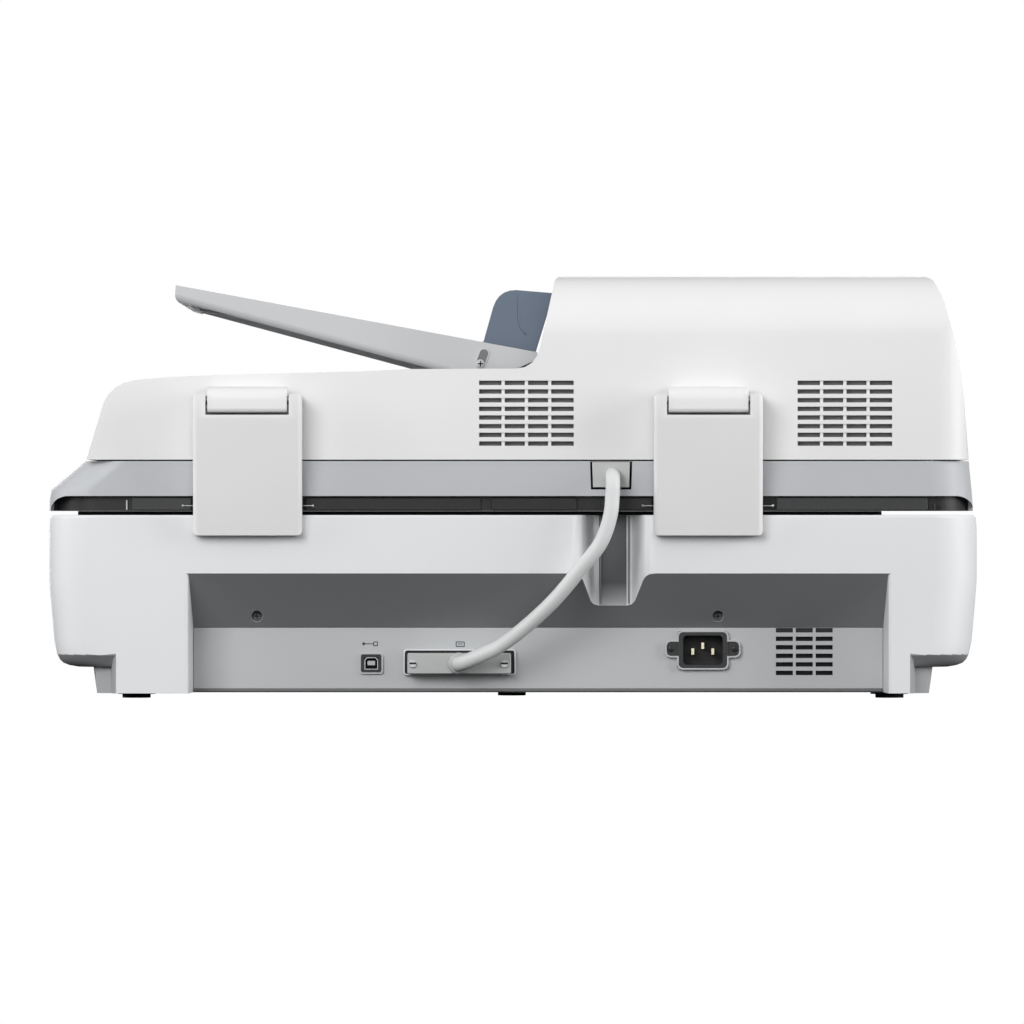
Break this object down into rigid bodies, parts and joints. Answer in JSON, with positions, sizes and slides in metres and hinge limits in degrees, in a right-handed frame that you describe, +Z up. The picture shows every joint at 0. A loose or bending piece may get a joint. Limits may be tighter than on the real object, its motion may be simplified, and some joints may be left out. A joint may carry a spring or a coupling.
{
  "type": "sheet fed document scanner",
  "caption": "Desktop A3 flatbed scanner with a hinged automatic document feeder, sloping paper tray, rear hinge posts and recessed connector panel.",
  "frame": {"origin": "on the table under the centre of the whole scanner's bounding box", "axes": "+Z up, +X to the operator's right along the long side, +Y from the operator towards the rear wall with its sockets"},
  "size_m": [0.64, 0.468, 0.2913],
  "materials": {
    "base_white": "fine moulded texture",
    "feeder_white": "fine moulded texture",
    "grey_band": "fine moulded texture",
    "tray_grey": "fine moulded texture",
    "panel_grey": "matt",
    "black_plastic": "matt",
    "inlet_black": "satin",
    "guide_blue": "satin",
    "cable_grey": "smooth sheath",
    "plug_grey": "satin",
    "clamp_grey": "satin",
    "control_dark": "gloss",
    "button_grey": "satin",
    "button_green": "satin",
    "button_orange": "satin",
    "gear_cream": "satin",
    "rubber_black": "matt",
    "steel": "plain",
    "light_metal": "satin",
    "board_green": "lacquer",
    "glass": "clear",
    "mat_white": "matt"
  },
  "bodies": {
    "base": {"base_housing": "base_white", "bottom_plate": "steel", "rear_io_panel": "panel_grey", "glass_bezel": "black_plastic", "platen_glass": "glass", "adf_strip_glass": "glass", "carriage_rail": "steel", "belt_motor": "light_metal", "drive_belt": "rubber_black", "power_supply": "light_metal", "main_board": "board_green", "ac_inlet": "inlet_black", "inlet_contacts": "steel", "usb_port": "light_metal", "adf_socket": "light_metal", "adf_plug": "plug_grey", "adf_cable": "cable_grey", "hinge_cover_left": "base_white", "hinge_cover_right": "base_white", "hinge_bracket_left": "steel", "hinge_bracket_right": "steel", "hinge_pin_left": "steel", "hinge_pin_right": "steel", "foot_rear_left": "rubber_black", "foot_middle": "rubber_black", "foot_rear_right": "rubber_black", "foot_front_left": "rubber_black", "foot_front_right": "rubber_black", "control_panel": "control_dark"},
    "adf_unit": {"adf_base_frame": "grey_band", "adf_underframe": "black_plastic", "document_mat": "mat_white", "adf_housing": "feeder_white", "output_tray": "tray_grey", "cable_clamp": "clamp_grey", "hinge_arm_left": "feeder_white", "hinge_arm_right": "feeder_white", "adf_motor": "light_metal", "reading_unit": "black_plastic"},
    "scan_carriage": {"scan_carriage": "black_plastic"},
    "motor_pulley": {"motor_pulley": "gear_cream"},
    "idler_pulley": {"idler_pulley": "gear_cream"},
    "power_button": {"power_button": "button_grey"},
    "scan_button": {"scan_button": "button_green"},
    "cancel_button": {"cancel_button": "button_orange"},
    "transport_lock": {"transport_lock": "plug_grey"},
    "output_stopper": {"output_stopper": "guide_blue"},
    "transport_roller": {"transport_roller": "rubber_black"},
    "exit_roller": {"exit_roller": "rubber_black"},
    "separation_roller": {"separation_roller": "rubber_black"},
    "adf_cover": {"adf_cover": "feeder_white"},
    "cover_latch": {"cover_latch": "guide_blue"},
    "feed_roller": {"feed_roller": "rubber_black"},
    "pickup_arm": {"pickup_arm": "black_plastic"},
    "pickup_roller": {"pickup_roller": "rubber_black"},
    "input_tray": {"input_tray": "tray_grey"},
    "tray_extension": {"tray_extension": "tray_grey"},
    "edge_guide_rear": {"edge_guide_rear": "guide_blue"},
    "edge_guide_front": {"edge_guide_front": "guide_blue"},
    "guide_pinion": {"guide_pinion": "gear_cream"}
  },
  "joints": [
    {"name": "lid_open", "type": "hinge", "parent": "base", "child": "adf_unit", "pos_m": [0, 0.224, 0.2055], "axis": [-1, 0, 0], "range_deg": [0, 75], "stiffness_Nm_per_rad": 8, "springref_deg": 74.48},
    {"name": "adf_cover_open", "type": "hinge", "parent": "adf_unit", "child": "adf_cover", "pos_m": [-0.3145, 0, 0.176], "axis": [0, -1, 0], "range_deg": [0, 70]},
    {"name": "cover_latch_lift", "type": "hinge", "parent": "adf_cover", "child": "cover_latch", "pos_m": [-0.072, 0, 0.287], "axis": [0, -1, 0], "range_deg": [0, 14], "stiffness_Nm_per_rad": 0.2},
    {"name": "input_tray_lift", "type": "hinge", "parent": "adf_unit", "child": "input_tray", "pos_m": [0.0225, 0, 0.231], "axis": [0, -1, 0], "range_deg": [0, 15]},
    {"name": "tray_extension_slide", "type": "slide", "parent": "input_tray", "child": "tray_extension", "axis": [0.9832, 0, 0.1824], "range_m": [0, 0.12]},
    {"name": "edge_guide_rear_slide", "type": "slide", "parent": "input_tray", "child": "edge_guide_rear", "axis": [0, -1, 0], "range_m": [0, 0.095]},
    {"name": "edge_guide_front_slide", "type": "slide", "parent": "input_tray", "child": "edge_guide_front", "axis": [0, 1, 0], "range_m": [0, 0.095]},
    {"name": "guide_pinion_turn", "type": "hinge", "parent": "input_tray", "child": "guide_pinion", "pos_m": [0.01267, -0.01, 0.22918], "axis": [-0.1824, 0, 0.9832], "continuous": true},
    {"name": "output_stopper_flip", "type": "hinge", "parent": "adf_unit", "child": "output_stopper", "pos_m": [0.262, 0, 0.1946], "axis": [0, 1, 0], "range_deg": [0, 90]},
    {"name": "carriage_travel", "type": "slide", "parent": "base", "child": "scan_carriage", "axis": [1, 0, 0], "range_m": [0, 0.42]},
    {"name": "motor_pulley_turn", "type": "hinge", "parent": "base", "child": "motor_pulley", "pos_m": [0.262, -0.072, 0.09], "axis": [0, 0, 1], "continuous": true},
    {"name": "idler_pulley_turn", "type": "hinge", "parent": "base", "child": "idler_pulley", "pos_m": [-0.272, -0.072, 0.09], "axis": [0, 0, 1], "continuous": true},
    {"name": "power_button_press", "type": "slide", "parent": "base", "child": "power_button", "axis": [0, 0.7145, -0.6997], "range_m": [0, 0.0015], "stiffness_N_per_m": 600},
    {"name": "scan_button_press", "type": "slide", "parent": "base", "child": "scan_button", "axis": [0, 0.7145, -0.6997], "range_m": [0, 0.0015], "stiffness_N_per_m": 600},
    {"name": "cancel_button_press", "type": "slide", "parent": "base", "child": "cancel_button", "axis": [0, 0.7145, -0.6997], "range_m": [0, 0.0015], "stiffness_N_per_m": 600},
    {"name": "transport_lock_slide", "type": "slide", "parent": "base", "child": "transport_lock", "axis": [0, 1, 0], "range_m": [0, 0.014]},
    {"name": "feed_roller_turn", "type": "hinge", "parent": "adf_cover", "child": "feed_roller", "pos_m": [-0.098, -0.01, 0.246], "axis": [0, 1, 0], "continuous": true},
    {"name": "pickup_arm_swing", "type": "hinge", "parent": "adf_cover", "child": "pickup_arm", "pos_m": [-0.098, -0.01, 0.246], "axis": [0, 1, 0], "range_deg": [0, 22], "stiffness_Nm_per_rad": 0.3, "springref_deg": -11.46},
    {"name": "pickup_roller_turn", "type": "hinge", "parent": "pickup_arm", "child": "pickup_roller", "pos_m": [-0.066, -0.01, 0.258], "axis": [0, 1, 0], "continuous": true},
    {"name": "separation_roller_turn", "type": "hinge", "parent": "adf_unit", "child": "separation_roller", "pos_m": [-0.098, -0.01, 0.221], "axis": [0, 1, 0], "continuous": true},
    {"name": "transport_roller_turn", "type": "hinge", "parent": "adf_unit", "child": "transport_roller", "pos_m": [-0.262, -0.01, 0.152], "axis": [0, 1, 0], "continuous": true},
    {"name": "exit_roller_turn", "type": "hinge", "parent": "adf_unit", "child": "exit_roller", "pos_m": [-0.07, -0.01, 0.186], "axis": [0, 1, 0], "continuous": true}
  ],
  "couplings": [
    {"joint": "edge_guide_front_slide", "follows": "edge_guide_rear_slide", "ratio": 1},
    {"joint": "guide_pinion_turn", "follows": "edge_guide_rear_slide", "rad_per_m": -125},
    {"joint": "motor_pulley_turn", "follows": "carriage_travel", "rad_per_m": -116.28},
    {"joint": "idler_pulley_turn", "follows": "carriage_travel", "rad_per_m": -116.28},
    {"joint": "pickup_roller_turn", "follows": "feed_roller_turn", "ratio": 1.3333},
    {"joint": "exit_roller_turn", "follows": "transport_roller_turn", "ratio": -1.3333}
  ]
}
